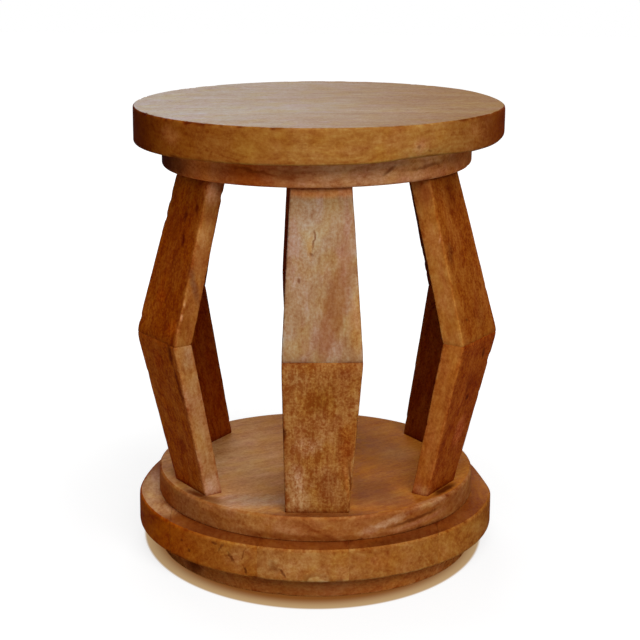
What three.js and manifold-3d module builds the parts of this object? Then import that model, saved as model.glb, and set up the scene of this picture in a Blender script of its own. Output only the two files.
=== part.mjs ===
// Round stool with six kneed legs, made of solid wood.
// Millimetres, +Z up. The origin is the centre of the underside and the front is towards -Y.
// From the floor up: foot disc, base disc, step disc, legs, collar disc and seat disc.

import * as THREE from 'three';
import { mergeVertices } from 'three/addons/utils/BufferGeometryUtils.js';
import Module from 'manifold-3d';

const wasm = await Module();
wasm.setup();

// Whole stool
const stoolHeight = 450;

// Seat disc, glued up from boards that run from side to side
const seatDiameter = 360;
const seatThickness = 32;
const seatTopRound = 1.8;
const seatLowerRound = 2.4;
const seatSeamShares = [-0.5, 0, 0.5];

// Collar disc under the seat, which holds the tops of the legs
const collarDiameter = 302;
const collarThickness = 26;
const collarTopRound = 1.2;
const collarLowerRound = 2.6;

// Step disc that the legs stand on
const stepDiameter = 319;
const stepThickness = 24;
const stepTopRound = 3;
const stepLowerRound = 1.2;

// Base disc, glued up from boards that run from front to back
const baseDiameter = 360;
const baseThickness = 32.5;
const baseTopRound = 2.4;
const baseLowerRound = 2.8;
const baseSeamShares = [-0.79, -0.315, 0.16, 0.64];

// Foot disc that rests on the floor
const footDiameter = 313;
const footThickness = 23.5;
const footTopRound = 1.2;
const footLowerRound = 2;

// Legs: flat boards, widest at the knee, that lean out from both ends to the knee
const legNames = ['front', 'front_right', 'back_right', 'back', 'back_left', 'front_left'];
const legThickness = 18.5;
const legArrisRound = 1.6;
const legTopWidth = 56;
const legTopSetback = 10.5;
const legFootWidth = 55.5;
const legFootSetback = 13;
const kneeRise = 158.5;
const kneeWidth = 71.5;
const kneeReach = 183.5;
const kneeEase = 11;

// Turns of the side and rear legs about the axis, in degrees from the front: nearly even
const sideLegTurn = 56.5;
const rearLegTurn = 121;

// Two dowels across each knee
const dowelDiameter = 6;
const dowelLength = 30;
const dowelChamfer = 0.8;
const dowelSpacing = 36;
const dowelEndRoom = 1;

// Countersunk wood screws
const screwHeadDiameter = 9;
const screwHeadDepth = 2.7;
const screwShankDiameter = 4.5;
const screwTipLength = 6;
const screwSink = 0.5;
const legScrewBite = 22;
const seatScrewBite = 15;
const seatScrewCircle = 180;
const baseScrewBite = 15;
const baseScrewCircle = 200;
const discScrewCount = 4;

// Clearance round each dowel and screw, and how far a cutter runs past the face it cuts
const fitGap = 0.3;
const overrun = 2;

// How finely round forms are divided
const discSegments = 72;
const dowelSegments = 12;
const screwSegments = 12;
const roundSteps = 2;
const easeSteps = 2;

// Turn of each leg, in the order of their names
const legTurns = [0, sideLegTurn, rearLegTurn, 180, -rearLegTurn, -sideLegTurn];

// Levels above the floor
const footTop = footThickness;
const baseTop = footTop + baseThickness;
const stepTop = baseTop + stepThickness;
const kneeLevel = stepTop + kneeRise;
const seatBottom = stoolHeight - seatThickness;
const collarBottom = seatBottom - collarThickness;

// Finishes: oiled wood in the tones of each piece, pale dowels and zinc-plated screws
const seatFinish = { color: '#b08a63', roughness: 0.55, metalness: 0 };
const collarFinish = { color: '#8a5d40', roughness: 0.6, metalness: 0 };
const upperLegFinish = { color: '#9a6b42', roughness: 0.58, metalness: 0 };
const lowerLegFinish = { color: '#8a531d', roughness: 0.6, metalness: 0 };
const stepFinish = { color: '#8f5b34', roughness: 0.6, metalness: 0 };
const baseFinish = { color: '#9b6a34', roughness: 0.58, metalness: 0 };
const footFinish = { color: '#76401b', roughness: 0.65, metalness: 0 };
const dowelFinish = { color: '#c9a878', roughness: 0.7, metalness: 0 };
const screwFinish = { color: '#9a9a9c', roughness: 0.35, metalness: 0.9 };

// A closed geometry as a solid that can be joined and cut
function toSolid(geometry) {
  geometry.deleteAttribute('normal');
  geometry.deleteAttribute('uv');
  const merged = mergeVertices(geometry);
  const corners = merged.index.array;
  const kept = [];
  for (let i = 0; i < corners.length; i += 3) {
    const [a, b, c] = [corners[i], corners[i + 1], corners[i + 2]];
    if (a !== b && b !== c && c !== a) {
      kept.push(a, b, c);
    }
  }
  return new wasm.Manifold(new wasm.Mesh({
    numProp: 3,
    vertProperties: merged.attributes.position.array,
    triVerts: new Uint32Array(kept),
  }));
}

// A cut solid back as a geometry
function toGeometry(solid) {
  const mesh = solid.getMesh();
  const geometry = new THREE.BufferGeometry();
  geometry.setAttribute('position', new THREE.BufferAttribute(mesh.vertProperties, 3));
  geometry.setIndex(new THREE.BufferAttribute(mesh.triVerts, 1));
  geometry.computeVertexNormals();
  return geometry;
}

// A profile turned about the Z axis; the profile runs from the axis at the bottom to the axis at the top
function turned(profile, segments) {
  const points = profile.map(([radius, level]) => new THREE.Vector2(radius, level));
  const geometry = new THREE.LatheGeometry(points, segments);
  const place = geometry.attributes.position;
  for (let i = 0; i < place.count; i += 1) {
    place.setXYZ(i, place.getX(i), -place.getZ(i), place.getY(i));
  }
  return geometry;
}

// Points of a rounded corner about its centre, from one angle to another
function roundCorner(centreX, centreY, round, startAngle, endAngle) {
  const points = [];
  for (let step = 0; step <= roundSteps; step += 1) {
    const angle = startAngle + (endAngle - startAngle) * (step / roundSteps);
    points.push([centreX + round * Math.cos(angle), centreY + round * Math.sin(angle)]);
  }
  return points;
}

// A turned disc with its underside at zero and both rims eased
function discSolid(diameter, thickness, topRound, lowerRound) {
  const radius = diameter / 2;
  const profile = [
    [0, 0],
    ...roundCorner(radius - lowerRound, lowerRound, lowerRound, -Math.PI / 2, 0),
    ...roundCorner(radius - topRound, thickness - topRound, topRound, 0, Math.PI / 2),
    [0, thickness],
  ];
  return toSolid(turned(profile, discSegments));
}

// The boards of a disc, parted at seams square to the given axis ('x' or 'y')
function boardsOf(disc, diameter, thickness, seamShares, axis) {
  const radius = diameter / 2;
  const seams = seamShares.map((share) => share * radius);
  const edges = [-radius - overrun, ...seams, radius + overrun];
  const across = diameter + overrun;
  const boards = [];
  for (let i = 0; i + 1 < edges.length; i += 1) {
    const width = edges[i + 1] - edges[i];
    const middle = (edges[i + 1] + edges[i]) / 2;
    const along = axis === 'x';
    const slab = new THREE.BoxGeometry(along ? width : across, along ? across : width, thickness + overrun);
    slab.translate(along ? middle : 0, along ? 0 : middle, thickness / 2);
    boards.push(disc.intersect(toSolid(slab)));
  }
  return boards;
}

// Places spaced evenly on a circle, halfway between the axes
function circlePlaces(diameter, count) {
  const places = [];
  for (let i = 0; i < count; i += 1) {
    const angle = ((i + 1 / 2) * 2 * Math.PI) / count;
    places.push([(diameter / 2) * Math.cos(angle), (diameter / 2) * Math.sin(angle)]);
  }
  return places;
}

// A countersunk screw that points up, with the top of its head at zero
function screwGeometry(length) {
  return turned([
    [0, 0],
    [screwHeadDiameter / 2, 0],
    [screwShankDiameter / 2, screwHeadDepth],
    [screwShankDiameter / 2, length - screwTipLength],
    [0, length],
  ], screwSegments);
}

// The hole that such a screw sits in, open below its head
function screwHoleGeometry(length) {
  const shank = screwShankDiameter / 2 + fitGap;
  const head = screwHeadDiameter / 2 + fitGap;
  const tipRoom = (fitGap * screwTipLength) / (screwShankDiameter / 2);
  return turned([
    [0, -overrun],
    [head, -overrun],
    [head, 0],
    [shank, screwHeadDepth],
    [shank, length - screwTipLength],
    [0, length + tipRoom],
  ], screwSegments);
}

// Cuts screw holes at the given places; each points up, or down where it is flipped
function cutScrewHoles(solid, places, level, length, flipped) {
  let result = solid;
  for (const [x, y] of places) {
    const hole = screwHoleGeometry(length);
    if (flipped) {
      hole.rotateX(Math.PI);
    }
    hole.translate(x, y, level);
    result = result.subtract(toSolid(hole));
  }
  return result;
}

// A dowel with chamfered ends, centred on zero
function dowelGeometry() {
  const radius = dowelDiameter / 2;
  const half = dowelLength / 2;
  return turned([
    [0, -half],
    [radius - dowelChamfer, -half],
    [radius, dowelChamfer - half],
    [radius, half - dowelChamfer],
    [radius - dowelChamfer, half],
    [0, half],
  ], dowelSegments);
}

// The drilled hole round a dowel, with a little room past both its ends
function dowelHoleGeometry() {
  const radius = dowelDiameter / 2 + fitGap;
  const half = dowelLength / 2 + dowelEndRoom;
  return turned([
    [0, -half],
    [radius, -half],
    [radius, half],
    [0, half],
  ], dowelSegments);
}

// Straight run between two levels, one value at each
function between(level, lowLevel, lowValue, highLevel, highValue) {
  return lowValue + ((highValue - lowValue) * (level - lowLevel)) / (highLevel - lowLevel);
}

// A leg's size at a level, straight from each end to the knee
function straightLeg(level, footValue, kneeValue, topValue) {
  if (level < kneeLevel) {
    return between(level, stepTop, footValue, kneeLevel, kneeValue);
  }
  return between(level, kneeLevel, kneeValue, collarBottom, topValue);
}

// The same, with the knee eased over a short height above and below it
function easedLeg(level, footValue, kneeValue, topValue) {
  const fromKnee = level - kneeLevel;
  if (Math.abs(fromKnee) >= kneeEase) {
    return straightLeg(level, footValue, kneeValue, topValue);
  }
  const below = straightLeg(kneeLevel - kneeEase, footValue, kneeValue, topValue);
  const above = straightLeg(kneeLevel + kneeEase, footValue, kneeValue, topValue);
  const share = (fromKnee + kneeEase) / (kneeEase * 2);
  const turn = 1 - share;
  return turn * turn * below + 2 * turn * share * kneeValue + share * share * above;
}

// Outer and inner face and half width of a leg at a level
function legSection(level) {
  const footReach = stepDiameter / 2 - legFootSetback;
  const topReach = collarDiameter / 2 - legTopSetback;
  return {
    outer: easedLeg(level, footReach, kneeReach, topReach),
    inner: straightLeg(level, footReach, kneeReach, topReach) - legThickness,
    half: easedLeg(level, legFootWidth, kneeWidth, legTopWidth) / 2,
  };
}

// Distance of the middle of a leg's thickness from the stool's axis
function legMiddle(level) {
  const { outer, inner } = legSection(level);
  return (outer + inner) / 2;
}

// Outline of the front leg at a level, with its four arrises rounded
function legOutline(level) {
  const { outer, inner, half } = legSection(level);
  const side = half - legArrisRound;
  const front = legArrisRound - outer;
  const back = -inner - legArrisRound;
  return [
    ...roundCorner(side, front, legArrisRound, -Math.PI / 2, 0),
    ...roundCorner(side, back, legArrisRound, 0, Math.PI / 2),
    ...roundCorner(-side, back, legArrisRound, Math.PI / 2, Math.PI),
    ...roundCorner(-side, front, legArrisRound, Math.PI, (Math.PI * 3) / 2),
  ];
}

// A leg half lofted through its outlines; its knee face lies at zero
function legSolid(levels) {
  const rings = levels.map(legOutline);
  const count = rings[0].length;
  const places = [];
  const corners = [];
  rings.forEach((ring, r) => {
    for (const [x, y] of ring) {
      places.push(x, y, levels[r] - kneeLevel);
    }
  });
  for (let r = 0; r + 1 < rings.length; r += 1) {
    for (let i = 0; i < count; i += 1) {
      const low = r * count + i;
      const lowNext = r * count + ((i + 1) % count);
      corners.push(low, lowNext, lowNext + count, low, lowNext + count, low + count);
    }
  }
  const topRing = (rings.length - 1) * count;
  for (let i = 1; i + 1 < count; i += 1) {
    corners.push(0, i + 1, i, topRing, topRing + i, topRing + i + 1);
  }
  const geometry = new THREE.BufferGeometry();
  geometry.setAttribute('position', new THREE.Float32BufferAttribute(places, 3));
  geometry.setIndex(corners);
  return toSolid(geometry);
}

// Levels of the outlines from the knee to one end: close together where the knee is eased
function legLevels(endLevel) {
  const way = Math.sign(endLevel - kneeLevel);
  const levels = [];
  for (let step = 0; step <= easeSteps; step += 1) {
    levels.push(kneeLevel + (way * kneeEase * step) / easeSteps);
  }
  levels.push(endLevel);
  return way > 0 ? levels : levels.reverse();
}

// Places of the two dowels in the front leg's knee
function dowelPlaces() {
  const quarter = dowelLength / 4;
  const depth = (legMiddle(kneeLevel + quarter) + legMiddle(kneeLevel - quarter)) / 2;
  return [
    [-dowelSpacing / 2, -depth],
    [dowelSpacing / 2, -depth],
  ];
}

// Cuts the dowel holes in a leg half
function cutDowelHoles(solid) {
  let result = solid;
  for (const [x, y] of dowelPlaces()) {
    const hole = dowelHoleGeometry();
    hole.translate(x, y, 0);
    result = result.subtract(toSolid(hole));
  }
  return result;
}

// Adds one named piece with a finish of its own
function addPiece(parent, name, geometry, finish, [x, y, z]) {
  const piece = new THREE.Mesh(geometry, new THREE.MeshStandardMaterial(finish));
  piece.name = name;
  piece.position.set(x, y, z);
  parent.add(piece);
  return piece;
}

// Screw lengths, from what each screw passes through and bites into
const seatScrewLength = collarThickness + seatScrewBite - screwSink;
const topScrewLength = collarThickness + legScrewBite - screwSink;
const footScrewLength = stepThickness + legScrewBite - screwSink;
const baseScrewLength = footThickness + baseThickness + baseScrewBite - screwSink;

// Levels of the tops of the screw heads
const seatScrewLevel = collarBottom + screwSink;
const topScrewLevel = seatBottom - screwSink;
const footScrewLevel = baseTop + screwSink;
const baseScrewLevel = screwSink;

// Distance of the leg screws from the stool's axis: the middle of the wood that each bites into
const topScrewReach = legMiddle(collarBottom - legScrewBite / 2);
const footScrewReach = legMiddle(stepTop + legScrewBite / 2);

const seatScrewPlaces = circlePlaces(seatScrewCircle, discScrewCount);
const baseScrewPlaces = circlePlaces(baseScrewCircle, discScrewCount);

// Places round the stool at a distance from its axis, one for each leg
function legPlaces(reach) {
  return legNames.map((name, i) => {
    const angle = legAngle(i);
    return [reach * Math.sin(angle), -reach * Math.cos(angle)];
  });
}

function legAngle(i) {
  return THREE.MathUtils.degToRad(legTurns[i]);
}

function addSeat(stool) {
  const disc = discSolid(seatDiameter, seatThickness, seatTopRound, seatLowerRound);
  const boards = boardsOf(disc, seatDiameter, seatThickness, seatSeamShares, 'y');
  boards.forEach((board, i) => {
    const headLevel = seatScrewLevel - seatBottom;
    const drilled = cutScrewHoles(board, seatScrewPlaces, headLevel, seatScrewLength, false);
    addPiece(stool, `seat_board_${i + 1}`, toGeometry(drilled), seatFinish, [0, 0, seatBottom]);
  });
}

function addCollar(stool) {
  let disc = discSolid(collarDiameter, collarThickness, collarTopRound, collarLowerRound);
  const headLevel = topScrewLevel - collarBottom;
  disc = cutScrewHoles(disc, seatScrewPlaces, seatScrewLevel - collarBottom, seatScrewLength, false);
  disc = cutScrewHoles(disc, legPlaces(topScrewReach), headLevel, topScrewLength, true);
  addPiece(stool, 'collar_disc', toGeometry(disc), collarFinish, [0, 0, collarBottom]);
}

function addStep(stool) {
  let disc = discSolid(stepDiameter, stepThickness, stepTopRound, stepLowerRound);
  disc = cutScrewHoles(disc, legPlaces(footScrewReach), footScrewLevel - baseTop, footScrewLength, false);
  disc = cutScrewHoles(disc, baseScrewPlaces, baseScrewLevel - baseTop, baseScrewLength, false);
  addPiece(stool, 'step_disc', toGeometry(disc), stepFinish, [0, 0, baseTop]);
}

function addBase(stool) {
  const disc = discSolid(baseDiameter, baseThickness, baseTopRound, baseLowerRound);
  const boards = boardsOf(disc, baseDiameter, baseThickness, baseSeamShares, 'x');
  boards.forEach((board, i) => {
    const headLevel = baseScrewLevel - footTop;
    const drilled = cutScrewHoles(board, baseScrewPlaces, headLevel, baseScrewLength, false);
    addPiece(stool, `base_board_${i + 1}`, toGeometry(drilled), baseFinish, [0, 0, footTop]);
  });
}

function addFoot(stool) {
  let disc = discSolid(footDiameter, footThickness, footTopRound, footLowerRound);
  disc = cutScrewHoles(disc, baseScrewPlaces, baseScrewLevel, baseScrewLength, false);
  addPiece(stool, 'foot_disc', toGeometry(disc), footFinish, [0, 0, 0]);
}

// One leg in a group of its own, turned to its place
function addLeg(stool, name, angle) {
  const leg = new THREE.Group();
  leg.rotation.z = angle;
  stool.add(leg);

  let upper = cutDowelHoles(legSolid(legLevels(collarBottom)));
  upper = cutScrewHoles(upper, [[0, -topScrewReach]], topScrewLevel - kneeLevel, topScrewLength, true);
  addPiece(leg, `upper_leg_${name}`, toGeometry(upper), upperLegFinish, [0, 0, kneeLevel]);

  let lower = cutDowelHoles(legSolid(legLevels(stepTop)));
  lower = cutScrewHoles(lower, [[0, -footScrewReach]], footScrewLevel - kneeLevel, footScrewLength, false);
  addPiece(leg, `lower_leg_${name}`, toGeometry(lower), lowerLegFinish, [0, 0, kneeLevel]);

  dowelPlaces().forEach(([x, y], i) => {
    addPiece(leg, `knee_dowel_${name}_${i + 1}`, dowelGeometry(), dowelFinish, [x, y, kneeLevel]);
  });

  const topPlace = [0, -topScrewReach, topScrewLevel];
  const topShape = screwGeometry(topScrewLength);
  const topScrew = addPiece(leg, `leg_top_screw_${name}`, topShape, screwFinish, topPlace);
  topScrew.rotation.x = Math.PI;
  const footPlace = [0, -footScrewReach, footScrewLevel];
  addPiece(leg, `leg_foot_screw_${name}`, screwGeometry(footScrewLength), screwFinish, footPlace);
}

function addDiscScrews(stool) {
  seatScrewPlaces.forEach(([x, y], i) => {
    const place = [x, y, seatScrewLevel];
    addPiece(stool, `seat_screw_${i + 1}`, screwGeometry(seatScrewLength), screwFinish, place);
  });
  baseScrewPlaces.forEach(([x, y], i) => {
    const place = [x, y, baseScrewLevel];
    addPiece(stool, `base_screw_${i + 1}`, screwGeometry(baseScrewLength), screwFinish, place);
  });
}

const stool = new THREE.Group();
addFoot(stool);
addBase(stool);
addStep(stool);
addCollar(stool);
addSeat(stool);
legNames.forEach((name, i) => addLeg(stool, name, legAngle(i)));
addDiscScrews(stool);

export default stool;
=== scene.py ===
"""Looks of a round hardwood stool with six kneed legs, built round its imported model.

Lengths are in millimetres in the named values and turned into metres where a mesh is made.
"""

import math
import random
from dataclasses import dataclass, field

import bmesh
import bpy
from mathutils import Matrix, Vector, noise


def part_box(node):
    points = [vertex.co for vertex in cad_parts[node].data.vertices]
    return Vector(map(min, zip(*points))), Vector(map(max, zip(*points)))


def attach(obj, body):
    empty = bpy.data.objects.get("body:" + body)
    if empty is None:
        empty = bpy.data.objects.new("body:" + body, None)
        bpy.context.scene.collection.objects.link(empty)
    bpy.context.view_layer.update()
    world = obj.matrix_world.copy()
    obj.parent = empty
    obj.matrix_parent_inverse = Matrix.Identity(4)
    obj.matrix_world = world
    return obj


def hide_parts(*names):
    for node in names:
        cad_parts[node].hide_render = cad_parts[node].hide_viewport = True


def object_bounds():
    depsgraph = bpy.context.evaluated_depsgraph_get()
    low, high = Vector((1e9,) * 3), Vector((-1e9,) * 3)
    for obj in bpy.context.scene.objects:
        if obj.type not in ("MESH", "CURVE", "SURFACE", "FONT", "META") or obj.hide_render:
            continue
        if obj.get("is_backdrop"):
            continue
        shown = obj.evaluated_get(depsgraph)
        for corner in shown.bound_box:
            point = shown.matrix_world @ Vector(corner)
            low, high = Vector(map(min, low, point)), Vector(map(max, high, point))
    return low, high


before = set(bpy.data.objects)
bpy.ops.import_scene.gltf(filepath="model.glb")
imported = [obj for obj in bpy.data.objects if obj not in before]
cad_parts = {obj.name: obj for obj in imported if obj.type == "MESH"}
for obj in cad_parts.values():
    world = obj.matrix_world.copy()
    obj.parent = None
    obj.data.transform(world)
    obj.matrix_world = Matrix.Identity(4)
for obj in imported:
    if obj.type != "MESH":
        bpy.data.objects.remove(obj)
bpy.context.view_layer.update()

MM = 0.001

# Names of the legs and the turn of each about the stool's axis, in degrees from the front
LEG_NAMES = ("front", "front_right", "back_right", "back", "back_left", "front_left")
LEG_TURNS = (0, 56.5, 121, 180, -121, -56.5)

# Leg sizes that the boxes of the nodes don't give; widths and reaches at the foot, knee and top
LEG_WIDTHS = (55.5, 71.5, 56)
LEG_REACHES = (146.5, 183.5, 140.5)
LEG_THICKNESS = 18.5
KNEE_EASE = 11
LEG_ARRIS = 1.7

# Seams between the boards, as shares of the disc's radius
SEAT_SEAM_SHARES = (None, -0.5, 0, 0.5, None)
BASE_SEAM_SHARES = (None, -0.79, -0.315, 0.16, 0.64, None)

# How far the seat and the tops of the legs have moved to the right
UPPER_SHIFT = 0.2

# Screws
SCREW_HEAD = 9
SCREW_HEAD_DEPTH = 2.7
SCREW_SHANK = 4.5
SCREW_TIP = 6
SCREW_ROOM = 0.3
SEAT_SCREW_CIRCLE = 180
BASE_SCREW_CIRCLE = 200
SCREWS_ROUND = 4


# Sizes of the discs, from the boxes of their nodes

def span_of(*nodes):
    """Radius, lowest and highest level of a disc's nodes, in millimetres."""
    boxes = [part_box(node) for node in nodes]
    radius = max(high.x for low, high in boxes) / MM
    bottom = min(low.z for low, high in boxes) / MM
    top = max(high.z for low, high in boxes) / MM
    return radius, bottom, top


SEAT_NODES = tuple(f"seat_board_{i + 1}" for i in range(len(SEAT_SEAM_SHARES) - 1))
BASE_NODES = tuple(f"base_board_{i + 1}" for i in range(len(BASE_SEAM_SHARES) - 1))
SEAT_RADIUS, SEAT_BOTTOM, SEAT_TOP = span_of(*SEAT_NODES)
COLLAR_RADIUS, COLLAR_BOTTOM, COLLAR_TOP = span_of("collar_disc")
STEP_RADIUS, STEP_BOTTOM, STEP_TOP = span_of("step_disc")
BASE_RADIUS, BASE_BOTTOM, BASE_TOP = span_of(*BASE_NODES)
FOOT_RADIUS, FOOT_BOTTOM, FOOT_TOP = span_of("foot_disc")
KNEE_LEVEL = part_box("upper_leg_front")[0].z / MM

# How the stool has settled: levels, its lean down to the left there in degrees, and its rise
SETTLING = (
    (STEP_TOP, 0, 0),
    (COLLAR_BOTTOM, 0.89, 0),
    (SEAT_BOTTOM, 1.37, 0.6),
    (SEAT_TOP, 0.64, -0.6),
)


def smooth(low, high, value):
    """0 before low, 1 past high and an eased slope between them; high may be the smaller one."""
    share = min(max((value - low) / (high - low), 0), 1)
    return share * share * (3 - 2 * share)


def between(place, low, low_value, high, high_value):
    """Value at a place, on the straight line through two others."""
    return low_value + (high_value - low_value) * (place - low) / (high - low)


def settled(x, y, z):
    """A point of the stool, in millimetres, where it has settled."""
    if z <= STEP_TOP:
        return x, y, z
    spans = zip(SETTLING, SETTLING[1:])
    low, high = next(span for span in spans if z <= span[1][0] or span[1] is SETTLING[-1])
    lean, rise = (between(z, low[0], low[i], high[0], high[i]) for i in (1, 2))
    share = min((z - STEP_TOP) / (COLLAR_BOTTOM - STEP_TOP), 1)
    drop = math.tan(math.radians(lean)) * (SEAT_RADIUS - x)
    return x + UPPER_SHIFT * share, y, z - drop + rise


def wave(x, y, z, size, seed):
    """Smooth noise from -1 to 1 whose bumps are about so many millimetres wide."""
    return noise.noise(Vector((x / size + seed, y / size - seed, z / size + seed / 2)))


def circle(radius, steps, x=0, y=0, start=0):
    """Points round a place, counter-clockwise; start is how many steps the first is turned by."""
    angles = [2 * math.pi * (i + start) / steps for i in range(steps)]
    return [(x + radius * math.cos(angle), y + radius * math.sin(angle)) for angle in angles]


# Meshes: rings of points joined by quads

SHARP_ANGLE = 40


class Shell:
    """A closed mesh made of rings, with a value at each point of edge wear, of painted shade where
    parts meet together with the dark of nicks and seams, and of painted shade on faces.
    """

    # The second value is painted shade where parts meet, with the dark of nicks and knee seams; the
    # third is painted shade on faces
    PAINTS = ("edge", "shade_and_grime", "painted_face_shade")

    def __init__(self, name):
        self.name = name
        self.mesh = bmesh.new()
        self.layers = [self.mesh.verts.layers.float.new(paint) for paint in self.PAINTS]

    def ring(self, points, paints):
        """Adds the points of a ring, each with its paint values."""
        verts = []
        for (x, y, z), values in zip(points, paints):
            x, y, z = settled(x, y, z)
            vert = self.mesh.verts.new((x * MM, y * MM, z * MM))
            for layer, value in zip(self.layers, values):
                vert[layer] = value
            verts.append(vert)
        return verts

    def join(self, low, high):
        """Quads between two rings of as many points."""
        for i, vert in enumerate(low):
            after = (i + 1) % len(low)
            self.mesh.faces.new((vert, low[after], high[after], high[i]))

    def skin(self, rings, close_first=True):
        """Joins rings one after another and closes the last of them, and the first if it is asked."""
        for low, high in zip(rings, rings[1:]):
            self.join(low, high)
        self.mesh.faces.new(rings[-1])
        if close_first:
            self.mesh.faces.new(list(reversed(rings[0])))

    def piece(self, slot, *nodes):
        """The finished object, which rides on the stool and stands for its nodes."""
        bmesh.ops.recalc_face_normals(self.mesh, faces=self.mesh.faces)
        for face in self.mesh.faces:
            face.smooth = True
        data = bpy.data.meshes.new(self.name)
        self.mesh.to_mesh(data)
        self.mesh.free()
        data.set_sharp_from_angle(angle=math.radians(SHARP_ANGLE))
        made = bpy.data.objects.new(self.name, data)
        bpy.context.scene.collection.objects.link(made)
        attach(made, "root")
        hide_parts(*nodes)
        return made


# Discs and boards

RIM_STEP = 2.0
ARC_STEP = 2.0
FEWEST_ARC_STEPS = 6
SEAM_STEPS = 24
ROUND_STEPS = 5
INNER_INSETS = (1.2, 3, 7, 14)
SEAM_EASE = 0.12
SAME_PLACE = 0.01

# Handmade unevenness of a rim: the inset where it starts to fade, its shares and their sizes
HELD_INSET = 2
EVEN_CUT = 0.55
SLOW_CUT = 0.35
SLOW_SIZE = 70
QUICK_CUT = 0.2
QUICK_SIZE = 9

# Nicks: how far they reach along the rim's section, and their cut inwards and downwards
NICK_SPREAD = 2.2
NICK_INWARDS = 0.6
NICK_DOWN = 0.8

# Worn edges, and the painted shade round the place where a disc meets another
EDGE_REACH = 1.6
WEAR_SIZE = 16
JOINT_SHADE_OUTSIDE = 6
JOINT_SHADE_INSIDE = 1


def seam_angles(radius, low, high):
    """Angles where the right-hand arc starts and ends between two seams; None is no seam."""
    start = -math.pi / 2 if low is None else math.asin(low / radius)
    end = math.pi / 2 if high is None else math.asin(high / radius)
    return start, end


def outline(radius, low, high, arc_steps):
    """Points of a circle between two seams, counter-clockwise."""
    start, end = seam_angles(radius, low, high)

    def arc(from_angle, first, last):
        angles = [from_angle + (end - start) * i / arc_steps for i in range(first, last)]
        return [(radius * math.cos(angle), radius * math.sin(angle)) for angle in angles]

    def seam(angle, level, way):
        half = radius * math.cos(angle)
        return [(way * (half - 2 * half * i / SEAM_STEPS), level) for i in range(1, SEAM_STEPS)]

    points = arc(start, 0, arc_steps + 1)
    if high is not None:
        points += seam(end, high, 1)
    points += arc(math.pi - end, int(high is None), arc_steps + int(low is not None))
    if low is not None:
        points += seam(start, low, -1)
    return points


@dataclass
class Disc:
    """A round disc: its size, how its rims are rounded, and what is uneven about it.

    aside is how far it is moved to the right, covered and stood_on are the radii of the discs
    above and below it. A nick or worn place is an azimuth, a width, a depth and if it is at the top.
    """

    radius: float
    bottom: float
    top: float
    lower_round: float
    top_round: float
    seed: float
    waviness: float = 0.3
    aside: float = 0
    covered: float = None
    stood_on: float = None
    worn_places: tuple = ()
    nicks: list = field(default_factory=list)

    def rows(self):
        """Rows of the section, from the middle of the underside round to the middle of the top:
        inset from the rim, level, and how far the seams are eased there."""
        low = self.bottom + self.lower_round
        high = self.top - self.top_round
        steps = max(2, round((high - low) / RIM_STEP))
        turns = [math.pi / 2 * i / ROUND_STEPS for i in range(ROUND_STEPS + 1)]
        rows = []
        for extra in reversed(INNER_INSETS):
            rows.append((self.lower_round + extra, self.bottom, SEAM_EASE + extra / 2))
        for turn in turns[:-1]:
            level = self.bottom + self.lower_round * (1 - math.cos(turn))
            rows.append((self.lower_round * (1 - math.sin(turn)), level, SEAM_EASE))
        for i in range(steps + 1):
            rows.append((0, low + (high - low) * i / steps, 0))
        for turn in turns[1:]:
            level = high + self.top_round * math.sin(turn)
            rows.append((self.top_round * (1 - math.cos(turn)), level, SEAM_EASE))
        for extra in INNER_INSETS:
            rows.append((self.top_round + extra, self.top, SEAM_EASE + extra / 2))
        return rows

    def worn(self, x, y, z, inset):
        """A point of the rim, moved inwards by the unevenness of the rim and its nicks."""
        if inset > INNER_INSETS[-1]:
            return x, y, z
        reach = math.hypot(x, y)
        hold = 1 - smooth(HELD_INSET, INNER_INSETS[-1], inset)
        slow = wave(x, y, z / 4, SLOW_SIZE, self.seed)
        quick = wave(x, y, z, QUICK_SIZE, self.seed + 7)
        cut = self.waviness * hold * (EVEN_CUT + SLOW_CUT * slow + QUICK_CUT * quick)
        drop = 0
        for bite, at_top, _ in self.bites(x, y, z, inset):
            cut += bite * NICK_INWARDS
            drop += bite * NICK_DOWN if at_top else -bite * NICK_DOWN
        shrink = (reach - cut) / reach
        return x * shrink, y * shrink, z - drop

    def bites(self, x, y, z, inset):
        """How much each nick or worn place takes off at a point, and how dark it has gone there."""
        azimuth = math.degrees(math.atan2(x, -y))
        found = []
        for places, darkness in ((self.nicks, 1), (self.worn_places, 0)):
            for place, width, depth, at_top in places:
                turned = math.radians(abs((azimuth - place + 180) % 360 - 180))
                across = turned * self.radius / width
                if across >= 1:
                    continue
                arris = self.top - z if at_top else z - self.bottom
                near = math.exp(-(arris ** 2 + inset ** 2) / (depth * NICK_SPREAD) ** 2)
                share = near * (1 - across ** 2) ** 2
                found.append((depth * share, at_top, darkness * share * min(depth, 1)))
        return found

    def paint(self, x, y, z, inset):
        """Edge wear, painted shade where another disc meets it together with the dark of its nicks, and
        no painted face shade, at a point of the disc.
        """
        arris = min(z - self.bottom, self.top - z)
        near = math.hypot(arris, inset) if inset > SAME_PLACE else arris
        patch = 0.6 + 0.5 * wave(x, y, z, WEAR_SIZE, self.seed + 3)
        edge = math.exp(-(near / EDGE_REACH) ** 2) * patch
        at_top = z > self.top - SAME_PLACE
        at_bottom = z < self.bottom + SAME_PLACE
        # Painted shade where another disc meets this one, with the dark of the nicks added
        shade_and_grime = 0
        for reach, meets in ((self.covered, at_top), (self.stood_on, at_bottom)):
            if reach is not None and meets:
                shade_and_grime = smooth(reach + JOINT_SHADE_OUTSIDE, reach - JOINT_SHADE_INSIDE, math.hypot(x, y))
        dark = sum(bite[2] for bite in self.bites(x, y, z, inset))
        return max(edge - dark, 0), min(max(shade_and_grime, dark), 1), 0


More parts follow.
